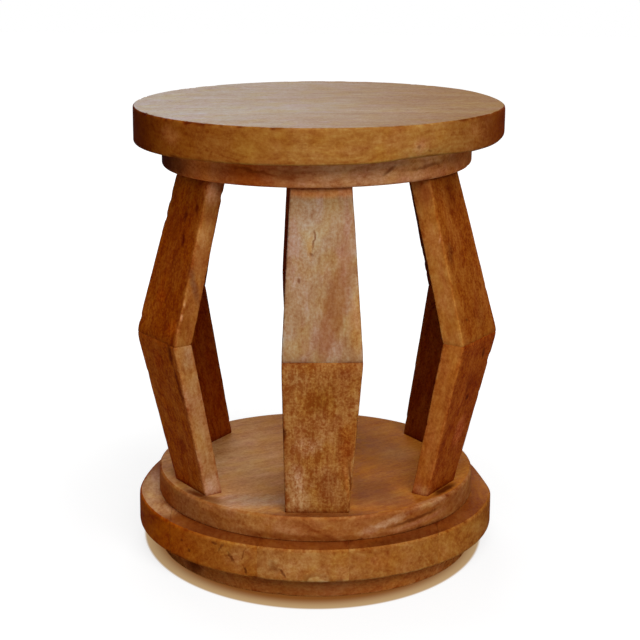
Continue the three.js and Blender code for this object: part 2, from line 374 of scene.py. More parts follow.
def disc_piece(name, disc, slot, nodes, axis="y", low=None, high=None, holes=()):
    """A whole disc, or its board between two seams square to the given axis."""
    shell = Shell(name)
    start, end = seam_angles(disc.radius, low, high)
    arc_steps = max(FEWEST_ARC_STEPS, round(disc.radius * (end - start) / ARC_STEP))
    rings = []
    for inset, level, ease in disc.rows():
        low_seam = None if low is None else low + ease
        high_seam = None if high is None else high - ease
        places, paints = [], []
        for along, over in outline(disc.radius - inset, low_seam, high_seam, arc_steps):
            x, y = (along, over) if axis == "y" else (over, along)
            reach = math.hypot(x, y)
            on_rim = reach > disc.radius - inset - SAME_PLACE
            rim_inset = inset if on_rim else disc.radius - reach
            paints.append(disc.paint(x, y, level, rim_inset))
            x, y, z = disc.worn(x, y, level, rim_inset)
            places.append((x + disc.aside, y, z))
        rings.append(shell.ring(places, paints))
    shell.skin(rings, not holes)
    if holes:
        add_screw_holes(shell, rings[0], holes)
    return shell.piece(slot, *nodes)


HOLE_STEPS = 24
HOLE_LIP = 0.5


def from_first_quarter(hole):
    """Angle from the start of the rim's points, which is in front, to a hole."""
    return (math.atan2(hole[1], hole[0]) + math.pi / 2) % (2 * math.pi)


def add_screw_holes(shell, rim, holes):
    """Closes an underside with countersunk screw holes in it: each quarter of it holds one."""
    middle = sum((vert.co for vert in rim), Vector()) / len(rim)
    hub = shell.mesh.verts.new(middle)
    count = len(rim)
    for q, (x, y, length) in enumerate(sorted(holes, key=from_first_quarter)):
        start, end = (k * count // len(holes) for k in (q, q + 1))
        border = [rim[i % count] for i in range(start, end + 1)] + [hub]
        profile = (
            (SCREW_HEAD, 0),
            (SCREW_HEAD, HOLE_LIP),
            (SCREW_SHANK, HOLE_LIP + SCREW_HEAD_DEPTH),
            (SCREW_SHANK, length - SCREW_TIP),
        )
        loops = []
        for width, depth in profile:
            loop = []
            for px, py in circle(width / 2 + SCREW_ROOM, HOLE_STEPS, x, y):
                z = surface_level(px, rim) + depth
                loop.append(shell.mesh.verts.new((px * MM, py * MM, z * MM)))
            loops.append(loop)
        shell.skin(loops, close_first=False)
        bridge_loops(shell, border, loops[0], (x * MM, y * MM))


def surface_level(x, rim):
    """Level of a flat, leaning underside at x, from two of its points, in millimetres."""
    first = min(rim, key=lambda vert: vert.co.x).co
    last = max(rim, key=lambda vert: vert.co.x).co
    share = (x * MM - first.x) / (last.x - first.x)
    return (first.z + (last.z - first.z) * share) / MM


def bridge_loops(shell, outer, inner, centre):
    """Faces between an outer loop and a hole's loop, both seen from the hole's centre."""
    def turn(vert):
        return math.atan2(vert.co.y - centre[1], vert.co.x - centre[0])
    outer = sorted(outer, key=turn)
    inner = sorted(inner, key=turn)
    i = j = 0
    full = 2 * math.pi
    while i < len(outer) or j < len(inner):
        a, b = outer[i % len(outer)], inner[j % len(inner)]
        next_a, next_b = outer[(i + 1) % len(outer)], inner[(j + 1) % len(inner)]
        turn_a = turn(next_a) + (full if i + 1 >= len(outer) else 0)
        turn_b = turn(next_b) + (full if j + 1 >= len(inner) else 0)
        if j >= len(inner) or (i < len(outer) and turn_a <= turn_b):
            shell.mesh.faces.new((a, next_a, b))
            i += 1
        else:
            shell.mesh.faces.new((a, next_b, b))
            j += 1


def board_pieces(base_name, disc, slot, nodes, shares, axis):
    """The boards of a disc, one piece for each node."""
    made = []
    for i, node in enumerate(nodes):
        low, high = (None if s is None else s * disc.radius for s in shares[i:i + 2])
        made.append(disc_piece(f"{base_name}_{i + 1}", disc, slot, (node,), axis, low, high))
    return made


# Legs

LEG_ROW = 3.0
FACE_STEP = 3.0
LONG_FACE_STEPS = 22
END_EASE = 0.25
LEG_ROUND_STEPS = 4

# Unevenness of a leg: slow and quick waviness, chips of its arrises, and how it fades inwards
LEG_WAVINESS = 0.25
LEG_WAVE_SIZE = 42
LEG_FUZZ = 0.12
LEG_FUZZ_SIZE = 8
ARRIS_WAVINESS = 0.35
ARRIS_WAVE_SIZE = 30
CHIP_DEPTH = 0.7
CHIP_SIZE = 9
EDGE_POWER = 8
FACE_POWER = 4
LEG_WEAR_SIZE = 14

# Painted shade at a leg's joint, the dark of its knee seam, and how far the shade painted on a face
# reaches round an arris
JOINT_SHADE = 0.7
JOINT_REACH = 2.5
SEAM_REACH = 1.6
FACE_SHADE_REACH = 1.5


@dataclass
class Leg:
    """How one leg differs from the drawing, and where shade is painted on its faces.

    shift and widen are tangential, out is how much further the leg reaches and deep how much
    thicker it is on its inner face, each at the foot, the knee and the top. The fifth field is the
    painted shade of the outer face, the inner face, the edge on the side of +t and the edge on the
    side of -t. seam is how dark the seam at the knee has gone.
    """

    shift: tuple = (0, 0, 0)
    widen: tuple = (0, 0, 0)
    out: tuple = (0, 0, 0)
    deep: tuple = (0, 0, 0)
    painted_face_shade: tuple = (0, 0, 0, 0)
    ease: float = KNEE_EASE
    seam: float = 0.2


# The fifth value of each leg paints shade on its outer face, its inner face and its two edges
LEGS = {
    "front": Leg((-0.8, 2, 0.3), (5, 2.6, 0.2), painted_face_shade=(0, 0.5, 0.3, 0.6), seam=0.8),
    "front_right": Leg(
        (0, -1.6, -3.1), (0, -2.4, 0), (-0.6, 1, 0.2), (0, 3, 3.1), (0.85, 0.9, 0.9, 0), ease=6),
    "back_right": Leg((-2.5, 0.8, 0.6), deep=(1.4, 2.6, 3), painted_face_shade=(0.3, 1, 0.4, 1)),
    "back": Leg((0, 0, 1.4), painted_face_shade=(0.2, 1, 0.8, 0.4)),
    "back_left": Leg((-2.5, -2, 0), deep=(6.9, 6.2, -3), painted_face_shade=(0.3, 1, 1, 0.4)),
    "front_left": Leg(
        (-1.9, -0.3, -2.6), (3.5, 1.6, 4.9), (0.2, 1.3, 0), painted_face_shade=(1, 0.9, 0, 0.9), ease=9),
}


def straight(level, foot, knee, top):
    """A leg's size at a level, straight from each end to the knee."""
    if level < KNEE_LEVEL:
        return between(level, STEP_TOP, foot, KNEE_LEVEL, knee)
    return between(level, KNEE_LEVEL, knee, COLLAR_BOTTOM, top)


def eased(level, foot, knee, top, ease):
    """The same, with the knee eased a little above and below it."""
    from_knee = level - KNEE_LEVEL
    if abs(from_knee) >= ease:
        return straight(level, foot, knee, top)
    below = straight(KNEE_LEVEL - ease, foot, knee, top)
    above = straight(KNEE_LEVEL + ease, foot, knee, top)
    share = (from_knee + ease) / (ease * 2)
    turn = 1 - share
    return turn * turn * below + 2 * turn * share * knee + share * share * above


def leg_outline(half, outer, inner, round_):
    """Points of a leg's section as (t, d), each with whether it is on an arris."""
    corners = (
        (half - round_, outer - round_, 0),
        (-half + round_, outer - round_, math.pi / 2),
        (-half + round_, inner + round_, math.pi),
        (half - round_, inner + round_, math.pi * 3 / 2),
    )
    edge_steps = max(3, round((LEG_THICKNESS - 2 * round_) / FACE_STEP))
    points = []
    for k, (t, d, start) in enumerate(corners):
        for i in range(LEG_ROUND_STEPS + 1):
            angle = start + math.pi / 2 * i / LEG_ROUND_STEPS
            points.append((t + round_ * math.cos(angle), d + round_ * math.sin(angle), True))
        t0, d0 = points[-1][:2]
        next_t, next_d, next_start = corners[(k + 1) % 4]
        t1 = next_t + round_ * math.cos(next_start)
        d1 = next_d + round_ * math.sin(next_start)
        steps = edge_steps if k % 2 else LONG_FACE_STEPS
        for i in range(1, steps):
            share = i / steps
            points.append((t0 + (t1 - t0) * share, d0 + (d1 - d0) * share, False))
    return points


def leg_levels(bottom, top):
    """Levels of the rings of a leg half, with a fine row at each end for its eased edge."""
    steps = round((top - bottom) / LEG_ROW)
    levels = [bottom + (top - bottom) * i / steps for i in range(steps + 1)]
    return [levels[0], levels[0] + END_EASE, levels[0] + 3 * END_EASE, *levels[1:-1],
            levels[-1] - 3 * END_EASE, levels[-1] - END_EASE, levels[-1]]


def leg_piece(half_name, leg_name, turn):
    """The upper or the lower half of a leg."""
    leg = LEGS[leg_name]
    upper = half_name == "upper"
    bottom, top = (KNEE_LEVEL, COLLAR_BOTTOM) if upper else (STEP_TOP, KNEE_LEVEL)
    joint = top if upper else bottom
    seed = LEG_NAMES.index(leg_name) * 5.3 + (2.1 if upper else 0)
    angle = math.radians(turn)
    sine, cosine = math.sin(angle), math.cos(angle)
    node = f"{half_name}_leg_{leg_name}"
    shell = Shell(f"{node}_wood")
    rings = []
    for level in leg_levels(bottom, top):
        reach = eased(level, *LEG_REACHES, leg.ease) + straight(level, *leg.out)
        inner = straight(level, *LEG_REACHES) - LEG_THICKNESS - straight(level, *leg.deep)
        half = (eased(level, *LEG_WIDTHS, leg.ease) + straight(level, *leg.widen)) / 2
        shift = straight(level, *leg.shift)
        ease = END_EASE * (1 - smooth(0, END_EASE * 3, min(level - bottom, top - level)))
        round_ = LEG_ARRIS * (1 + ARRIS_WAVINESS * wave(level, 0, 0, ARRIS_WAVE_SIZE, seed))
        middle = (reach + inner) / 2
        places, paints = [], []
        for t, d, on_arris in leg_outline(half - ease, reach - ease, inner + ease, round_):
            cut = LEG_WAVINESS * (0.5 + 0.5 * wave(t, d, level, LEG_WAVE_SIZE, seed))
            cut += LEG_FUZZ * wave(t, d, level, LEG_FUZZ_SIZE, seed + 2)
            if on_arris:
                cut += CHIP_DEPTH * smooth(0.3, 0.6, wave(t, d, level, CHIP_SIZE, seed + 9))
            on_edge = (t / half) ** EDGE_POWER
            on_face = abs((d - middle) / ((reach - inner) / 2)) ** FACE_POWER
            t -= math.copysign(min(cut * on_edge, abs(t)), t)
            d -= math.copysign(cut * on_face, d - middle)
            x = d * sine + (t + shift) * cosine
            y = -d * cosine + (t + shift) * sine
            places.append((x, y, level))
            gaps = (reach - d, d - inner, half - t, half + t)
            paints.append(leg_paint(leg, t, d, level, gaps, joint, seed))
        rings.append(shell.ring(places, paints))
    shell.skin(rings)
    return shell.piece(f"{half_name}_leg_wood", node)


def leg_paint(leg, t, d, level, gaps, joint, seed):
    """Edge wear, painted shade at the joint together with the dark of the knee seam, and painted face
    shade at a point of a leg, from its gaps to the four faces.
    """
    second = sorted(gaps)[1]
    patch = 0.6 + 0.6 * wave(t, d, level, LEG_WEAR_SIZE, seed + 3)
    edge = max(0, math.exp(-(second / EDGE_REACH) ** 2) * patch)
    seam = leg.seam * (0.2 + 0.8 * smooth(8, 20, abs(t - 4)))
    # Painted shade at the joint, and the dark of the knee seam
    shade_and_grime = JOINT_SHADE * math.exp(-abs(level - joint) / JOINT_REACH)
    shade_and_grime += seam * math.exp(-abs(level - KNEE_LEVEL) / SEAM_REACH)
    # Painted shade of each face, spread a little round the arrises
    shares = [math.exp(-max(gap, 0) / FACE_SHADE_REACH) for gap in gaps]
    painted_face_shade = sum(value * share for value, share in zip(leg.painted_face_shade, shares))
    return edge, min(shade_and_grime, 1), painted_face_shade / max(sum(shares), 1e-6)


# Screws that show from below

CROSS_ARM = 2.6
CROSS_WIDTH = 0.55
CROSS_DEPTH = 1.3
SPOKES = 48
HEAD_RINGS = 12
HEAD_HUB = 0.25
HEAD_RIM = 0.2
TIP_RADIUS = 0.3


def screw_piece(node, x, y, level, length):
    """A countersunk screw with a cross recess, its head facing down."""
    shell = Shell(f"{node}_steel")
    rows = []
    for i in range(HEAD_RINGS + 1):
        radius = HEAD_HUB + (SCREW_HEAD / 2 - HEAD_HUB) * i / HEAD_RINGS
        within = 1 - smooth(CROSS_ARM * 0.8, CROSS_ARM, radius)
        row = []
        for px, py in circle(radius, SPOKES):
            thin = min(abs(px), abs(py))
            deep = (1 - smooth(CROSS_WIDTH * 0.7, CROSS_WIDTH * 1.4, thin)) * within
            row.append((x + px, y + py, level + CROSS_DEPTH * deep))
        rows.append(row)
    profile = (
        (SCREW_HEAD / 2, HEAD_RIM),
        (SCREW_SHANK / 2, SCREW_HEAD_DEPTH),
        (SCREW_SHANK / 2, length - SCREW_TIP),
        (TIP_RADIUS, length),
    )
    for radius, depth in profile:
        rows.append([(px, py, level + depth) for px, py in circle(radius, SPOKES, x, y)])
    clean = [(0, 0, 0)] * SPOKES
    shell.skin([shell.ring(row, clean) for row in rows])
    return shell.piece("screw_zinc", node)


# Materials

WHITE = (1, 1, 1, 1)


def rgb(colour):
    """A colour given as 0xRRGGBB on the screen, in the linear values that shaders take."""
    values = []
    for value in colour.to_bytes(3, "big"):
        share = value / 255
        values.append(share / 12.92 if share <= 0.04045 else ((share + 0.055) / 1.055) ** 2.4)
    return (*values, 1)


class Wiring:
    """Builds the nodes of a material or of the world; every method but node gives a socket."""

    def __init__(self, owner):
        self.owner = owner
        owner.use_nodes = True
        self.tree = owner.node_tree
        self.tree.nodes.clear()

    def node(self, kind, inputs=(), **settings):
        """A node with its settings, and its inputs linked to sockets or set to values."""
        made = self.tree.nodes.new("ShaderNode" + kind)
        for key, value in settings.items():
            setattr(made, key, value)
        for socket, value in dict(inputs).items():
            target = made.inputs[socket]
            if isinstance(value, bpy.types.NodeSocket):
                self.tree.links.new(value, target)
            else:
                target.default_value = value
        return made

    def get(self, kind, inputs=(), output=0, **settings):
        return self.node(kind, inputs, **settings).outputs[output]

    def math(self, operation, a, b=0.0, clamp=False):
        return self.get("Math", {0: a, 1: b}, operation=operation, use_clamp=clamp)

    def scaled(self, value, factor, plus=0.0):
        return self.get("Math", {0: value, 1: factor, 2: plus}, operation="MULTIPLY_ADD")

    def vector(self, operation, a, b):
        return self.get("VectorMath", {0: a, 1: b}, operation=operation)

    def length(self, a):
        return self.get("VectorMath", {0: a}, "Value", operation="LENGTH")

    def mix(self, factor, a, b, blend="MIX"):
        return self.get("Mix", {0: factor, 6: a, 7: b}, 2, data_type="RGBA", blend_type=blend)

    def slope(self, value, low, high, out_low=0.0, out_high=1.0, kind="SMOOTHSTEP"):
        inputs = dict(enumerate((value, low, high, out_low, out_high)))
        return self.get("MapRange", inputs, interpolation_type=kind)

    def noise(self, vector, scale, detail=2.0, rough=0.5, warp=0.0, output="Fac"):
        inputs = {"Vector": vector, "Scale": scale, "Detail": detail, "Roughness": rough}
        return self.get("TexNoise", {**inputs, "Distortion": warp}, output)

    def bands(self, value, scale, detail):
        inputs = {"W": value, "Scale": scale, "Detail": detail, "Roughness": 0.6}
        return self.get("TexNoise", inputs, "Fac", noise_dimensions="1D")

    def total(self, parts, base=0.5):
        """The base and how far each value is from a half, times its weight."""
        value = base - sum(weight for _, weight in parts) / 2
        for part, weight in parts:
            value = self.scaled(part, weight, value)
        return value

    def mapping(self, vector, place, turn, scale):
        inputs = {"Vector": vector, "Location": place, "Rotation": turn, "Scale": scale}
        return self.get("Mapping", inputs, vector_type="TEXTURE")

    def millimetres(self):
        """Places on the piece in millimetres."""
        return self.vector("MULTIPLY", self.get("TexCoord", output="Object"), (1 / MM,) * 3)

    def finished(self, looks, height, strength, depth):
        """The material, with these looks and a bumped surface."""
        bump = self.get("Bump", {"Strength": strength, "Distance": depth * MM, "Height": height})
        shader = self.get("BsdfPrincipled", {**looks, "Normal": bump})
        self.node("OutputMaterial", {"Surface": shader})
        return self.owner


@dataclass
class Spot:
    """A local mark in the wood: an ellipsoid with soft edges, in millimetres, turned in degrees.

    wobble is how far its outline strays, and sunk how much lower than the wood it lies.
    """

    place: tuple
    size: tuple
    colour: int
    strength: float
    soft: float
    wobble: float = 3
    turn: tuple = (0, 0, 0)
    sunk: float = 0


FACE_DEPTH = 20


def marks(*rows):
    """Spots from rows of their values."""
    return tuple(Spot(*row) for row in rows)


def face_marks(level, *rows):
    """Spots on a level face: each place is (x, y), each turn is about the upright axis."""
    return tuple(
        Spot((*place, level), (*size, FACE_DEPTH)[:3], colour, strength, soft, wobble, (0, 0, turn))
        for place, size, colour, strength, soft, wobble, turn in rows
    )


@dataclass
class Wood:
    """Tone and figure of one piece of wood: its grain runs along, and its face looks up."""

    tone: int
    seed: float
    along: tuple = (1, 0, 0)
    up: tuple = (0, 0, 1)
    heart: tuple = (20, -70)
    ring: float = 4
    figure: float = 1
    mottle: float = 1
    burl: float = 0
    rosy: float = 0.4
    golden: float = 0.5
    # What the wood is multiplied by where shade is painted on a face
    painted_face_shade: tuple = (0.72, 0.3, 0.05)
    rough: float = 0.65
    gloss: float = 0.01
    coarse: float = 1
    spots: tuple = ()


# Top faces: their sheen, and how much coarser their worn grain looks
SEAT_TOP_LOOK = {"gloss": 0.01, "rough": 0.5, "coarse": 2.6, "figure": 0.7, "mottle": 0.8}
LOW_TOP_LOOK = {**SEAT_TOP_LOOK, "gloss": 0.012}

# How much faster green and blue fall than red as wood gets deeper, and the tone's whole reach
TONE_POWERS = (1.0, 2.1, 3.2)
TONE_REACH = 0.3


def deepened(share):
    """What wood is multiplied by where it is so much deeper, or paler, than its own tone."""
    return (*(share ** power for power in TONE_POWERS), 1)


DEEP = deepened(0.66)
PALE = deepened(1.26)
PORE = deepened(0.6)
WORN = deepened(1.35)
# What painted shade where parts meet, and the dark of nicks and seams, multiply wood by
SHADE_AND_GRIME_DEEP = deepened(0.42)
ROSY = (1.1, 1.07, 1.6, 1)
GOLDEN = (1.02, 0.98, 0.6, 1)


# Noise that figures the wood: sizes along and across the grain, detail, roughness and warp
BEND = (170, 50)
KINK = (50, 14, 3.0, 0.55)
CURL = (18, 12, 4.0, 0.65, 1.5)
FIBRE = (24, 1.3, 3.0, 0.6)
DASH = (8, 4, 2.0, 0.55)
STREAK = (85, 6)
BLOTCH = (34, 20, 3.0, 0.6, 0.4)
FLECK = (13, 8, 3.0, 0.6, 0.8)
PORES = (8, 0.6, 1.0)
PINK_DRIFT = (38, 18, 3.0, 0.6)
GOLD_DRIFT = (28, 22)
SPECK_SCALE = 0.42
DRAG_SCALE = 0.12

# How far the growth rings are bent by the first three, in millimetres
BEND_REACH = 36.0
KINK_REACH = 9.0
CURL_REACH = 24.0

# The bump of wood, and the widest that worn grain gets across
WOOD_BUMP = 0.4
WOOD_BUMP_DEPTH = 0.4
COARSEST = 4
SEED_STEP = 137


def wood_axes(wood):
    """Turn that takes the grain's direction to X and the board's face to Z."""
    along = Vector(wood.along).normalized()
    side = Vector(wood.up).cross(along).normalized()
    face = along.cross(side)
    return Matrix((along, side, face)).transposed().to_euler()


def wood_material(name, wood):
    """Procedural wood: local marks, drifts of colour, growth rings, fibres, pores, mottle and wear."""
    w = Wiring(bpy.data.materials.new(name))
    world = w.millimetres()
    own = w.mapping(world, (0, 0, 0), tuple(wood_axes(wood)), (1, 1, 1))
    own = w.vector("ADD", own, (wood.seed * SEED_STEP, wood.heart[0], -wood.heart[1]))

    def grain(along, across, detail=2.0, rough=0.5, warp=0.0):
        """Noise whose bumps are so many millimetres along and across the grain."""
        across = max(across, min(across * wood.coarse, COARSEST))
        stretched = w.vector("MULTIPLY", own, (1 / along, 1 / across, 1 / across))
        return w.noise(stretched, 1.0, detail, rough, warp)

    def painted(value, unevenness, *slope):
        """A value painted on the mesh, made uneven by noise."""
        value = w.get("Attribute", output="Fac", attribute_name=value)
        return w.math("MULTIPLY", value, w.slope(unevenness, *slope), True)

    # Growth rings: distance from the heart line, bent by slower noise
    reach = w.length(w.vector("MULTIPLY", own, (0, 1, 1)))
    reach = w.scaled(grain(*BEND), BEND_REACH, reach)
    reach = w.scaled(grain(*KINK), KINK_REACH, reach)
    if wood.burl:
        reach = w.scaled(grain(*CURL), CURL_REACH * wood.burl, reach)
    rings = w.bands(reach, 1 / wood.ring, 3.0)
    wide = w.bands(reach, 0.3 / wood.ring, 1.0)

    fibre, dash, streak = grain(*FIBRE), grain(*DASH), grain(*STREAK)
    blotch, fleck = grain(*BLOTCH), grain(*FLECK)
    speck = w.noise(world, SPECK_SCALE, 2.0, 0.6)
    pores = w.slope(grain(*PORES), 0.64, 0.76)

    # Local marks: knots, checks, patches and streaks, their outlines dragged about by noise
    colour = rgb(wood.tone)
    height = w.total(((fibre, 0.5), (rings, 0.2), (dash, 0.35), (pores, -0.4)))
    drag = w.noise(w.vector("MULTIPLY", world, (DRAG_SCALE,) * 3), 1.0, output="Color")
    drag = w.vector("SUBTRACT", drag, (0.5,) * 3)
    for spot in wood.spots:
        moved = w.vector("ADD", world, w.vector("MULTIPLY", drag, (spot.wobble * 2,) * 3))
        turn = tuple(math.radians(a) for a in spot.turn)
        inside = w.length(w.mapping(moved, spot.place, turn, spot.size))
        mask = w.slope(inside, 1.0, 1.0 - spot.soft)
        colour = w.mix(w.scaled(mask, spot.strength), colour, rgb(spot.colour))
        if spot.sunk:
            height = w.scaled(mask, -spot.sunk, height)

    # Figure, which deepens or lightens the tone, and more of it where shade is painted on a face
    tone = w.total((
        (rings, 0.3 * wood.figure), (wide, 0.3 * wood.figure), (fibre, 0.25 * wood.figure), (dash, 0.4),
        (streak, 0.3 * wood.figure), (blotch, 0.4 * wood.mottle), (fleck, 0.35 * wood.mottle),
        (speck, 0.5 + 0.7 * wood.burl),
    ))
    spotty = w.total(((fleck, 0.5), (speck, 0.65), (dash, 0.2)), 0.0)
    face_shade_mask = w.get("Attribute", output="Fac", attribute_name="painted_face_shade")
    tone = w.math("ADD", tone, w.math("MULTIPLY", spotty, face_shade_mask))

    # Drifts of colour, tone, pores, painted shade on faces, worn arrises, and painted shade where parts
    # meet together with the dark of nicks and seams
    for share, tint in (
        (w.slope(grain(*PINK_DRIFT), 0.46, 0.68, 0, wood.rosy), ROSY),
        (w.slope(grain(*GOLD_DRIFT), 0.46, 0.66, 0, wood.golden), GOLDEN),
        (w.slope(tone, 0.5, 0.5 - TONE_REACH, kind="LINEAR"), DEEP),
        (w.slope(tone, 0.5, 0.5 + TONE_REACH, kind="LINEAR"), PALE),
        (w.scaled(pores, 0.3), PORE),
        (painted("painted_face_shade", blotch, 0.25, 0.65, 1.1, 0.9), (*wood.painted_face_shade, 1)),
        (w.scaled(painted("edge", fleck, 0.42, 0.62), 0.7), WORN),
        (painted("shade_and_grime", fleck, 0.2, 0.6, 0.8, 1.0), SHADE_AND_GRIME_DEEP),
    ):
        colour = w.mix(share, colour, tint, "MULTIPLY")
    uneven = w.total(((fibre, 0.3), (blotch, 0.35), (dash, 0.2)), wood.rough)
    looks = {"Base Color": colour, "Roughness": uneven, "Specular IOR Level": wood.gloss}
    return w.finished(looks, height, WOOD_BUMP, WOOD_BUMP_DEPTH)


DULL_ZINC = rgb(0x84868C)
BRIGHT_ZINC = rgb(0xBABCBE)


def steel_material(name):
    """Zinc-plated steel with fine turning marks and dull patches."""
    w = Wiring(bpy.data.materials.new(name))
    world = w.millimetres()
    turned = w.noise(w.vector("MULTIPLY", world, (0.4, 0.4, 6.0)), 1.0, 3.0)
    dullness = w.slope(w.noise(world, 0.25, 3.0), 0.3, 0.7, kind="LINEAR")
    colour = w.mix(dullness, DULL_ZINC, BRIGHT_ZINC)
    looks = {"Base Color": colour, "Roughness": w.scaled(turned, 0.2, 0.25), "Metallic": 1.0}
    return w.finished(looks, turned, 0.2, 0.1)


LEVEL_FACE = 0.9


def dress(piece, material):
    """Gives a piece this material in place of its own."""
    piece.data.materials.clear()
    piece.data.materials.append(material)


def dress_wood(piece, wood, top_wood=None):
    """Gives a piece its wood, and its top face one of its own where it has weathered apart; on the seat
    that wood also holds a painted sheen.
    """
    dress(piece, wood_material(piece.name, wood))
    if top_wood is None:
        return
    piece.data.materials.append(wood_material(f"{piece.name}_top", top_wood))
    for face in piece.data.polygons:
        if face.normal.z > LEVEL_FACE:
            face.material_index = 1


# Lay out the discs

COLLAR_ASIDE = -1.8
FOOT_SPREAD = 2.5

seat = Disc(
    SEAT_RADIUS - UPPER_SHIFT, SEAT_BOTTOM, SEAT_TOP, 2.6, 1.7, seed=1.7, waviness=0.15,
    stood_on=COLLAR_RADIUS,
    worn_places=((32, 62, 3.2, False), (24, 40, 1.2, True), (96, 90, 1.5, True), (80, 60, 1.4, False)))
collar = Disc(COLLAR_RADIUS, COLLAR_BOTTOM, COLLAR_TOP, 4.2, 1.2, seed=11.3, aside=COLLAR_ASIDE)
step = Disc(STEP_RADIUS, STEP_BOTTOM, STEP_TOP, 1.2, 3.0, seed=23.9)
base = Disc(
    BASE_RADIUS, BASE_BOTTOM, BASE_TOP, 2.8, 2.6, seed=37.1, covered=STEP_RADIUS, stood_on=FOOT_RADIUS,
    worn_places=((98, 60, 4.0, True), (-98, 60, 2.4, True)))
foot = Disc(FOOT_RADIUS + FOOT_SPREAD, FOOT_BOTTOM, FOOT_TOP, 2.0, 1.2, seed=51.7)

ALL_ROUND = (-180, 180)
dice = random.Random(29)


def add_nicks(disc, count, azimuths, widths, depths, both_rims=False):
    """Nicks at random places of the rims, within the given ranges."""
    for _ in range(count):
        at_top = dice.random() < 0.5 if both_rims else True
        place, width, depth = (dice.uniform(*span) for span in (azimuths, widths, depths))
        disc.nicks.append((place, width, depth, at_top))


add_nicks(seat, 16, (-62, -14), (2.5, 6), (0.5, 1.3))
add_nicks(seat, 26, ALL_ROUND, (3, 9), (0.3, 1.0))
for disc in (seat, collar, step, base, foot):
    add_nicks(disc, 16, ALL_ROUND, (3, 10), (0.3, 1.1), both_rims=True)

seat_boards = board_pieces("seat_board_wood", seat, "seat_wood", SEAT_NODES, SEAT_SEAM_SHARES, "y")
base_boards = board_pieces("base_board_wood", base, "base_wood", BASE_NODES, BASE_SEAM_SHARES, "x")


# Lay out the screws, the discs they go up through and the legs

HOLE_BEYOND = 2


def screw_places(diameter):
    """Where the screws of a circle stand, the first of them to the right and behind the middle."""
    return circle(diameter / 2, SCREWS_ROUND, start=0.5)


def drilled_holes(disc, diameter):
    """Places and depths of a circle of screw holes, each deeper than the disc is thick."""
    depth = disc.top - disc.bottom + HOLE_BEYOND
    return [(x, y, depth) for x, y in screw_places(diameter)]


collar_holes = drilled_holes(collar, SEAT_SCREW_CIRCLE)
foot_holes = drilled_holes(foot, BASE_SCREW_CIRCLE)
collar_piece = disc_piece(
    "collar_disc_wood", collar, "collar_wood", ("collar_disc",), holes=collar_holes)
step_piece = disc_piece("step_disc_wood", step, "step_wood", ("step_disc",))
foot_piece = disc_piece("foot_disc_wood", foot, "foot_wood", ("foot_disc",), holes=foot_holes)

leg_pieces = {}
for leg_name, leg_turn in zip(LEG_NAMES, LEG_TURNS):
    for half_name in ("upper", "lower"):
        leg_pieces[half_name, leg_name] = leg_piece(half_name, leg_name, leg_turn)

screws = []
for kind, diameter in (("seat_screw", SEAT_SCREW_CIRCLE), ("base_screw", BASE_SCREW_CIRCLE)):
    low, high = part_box(f"{kind}_1")
    for i, (x, y) in enumerate(screw_places(diameter)):
        screws.append(screw_piece(f"{kind}_{i + 1}", x, y, low.z / MM, (high.z - low.z) / MM))


# Woods, piece by piece

ALONG_Y = (0, 1, 0)

seat_spots = marks(
    # The first three paint shade on the left and right ends of the seat's side
    ((-190, 0, 434), (215, 900, 300), 0x924200, 1, 1, 8),
    ((190, 0, 434), (104, 900, 300), 0x722400, 1, 1, 8),
    ((-192, 0, 434), (64, 500, 300), 0x4E0C00, 1, 1, 8),
    ((88, -157, 430), (15, 12, 10), 0xBA804E, 0.7, 0.9, 6),
    ((86, -158, 428), (3, 8, 2.4), 0x743C14, 0.8, 0.8, 3, (0, -20, 0)),
    ((96, -153, 424), (2.4, 8, 2), 0x784018, 0.7, 0.8),
    ((-136, -119, 431), (22, 20, 12), 0xB66A30, 0.8, 0.9, 6),
    ((0, -180, 426), (60, 30, 12), 0xB07C40, 0.5, 1, 8),
    ((140, -110, 436), (22, 24, 16), 0xA8662E, 0.5, 1, 8),
    ((-62, -170, 434), (40, 40, 40), 0x9C5E1A, 0.6, 1, 8),
)
seat_top_spots = face_marks(
    450,
    # A painted sheen, paler and greyer, over the left of the seat's top
    ((-190, 0), (380, 900, 60), 0xB6A391, 1, 1, 10, 0),
    ((110, 20), (70, 14), 0x926438, 0.6, 0.9, 12, 4),
    ((70, -10), (56, 60), 0x926236, 0.35, 1, 12, 4),
    ((60, -70), (90, 12), 0xB29270, 0.6, 0.9, 12, -3),
    ((20, 70), (60, 18), 0x9C7856, 0.5, 0.9, 12, 5),
    ((130, -60), (40, 16), 0x906238, 0.5, 0.9, 12, 8),
    ((-100, 60), (50, 20), 0xA88C70, 0.5, 0.9, 12, 3),
)
SEAT_HEARTS = ((30, -60), (-35, -90), (10, -75), (60, -85))
for i, (piece, heart) in enumerate(zip(seat_boards, SEAT_HEARTS)):
    side = Wood(0xA36B2E, 1.0 + i, heart=heart, spots=seat_spots, gloss=0.004)
    face = Wood(0x9E7446, 1.0 + i, heart=heart, spots=seat_top_spots, **SEAT_TOP_LOOK)
    dress_wood(piece, side, face)

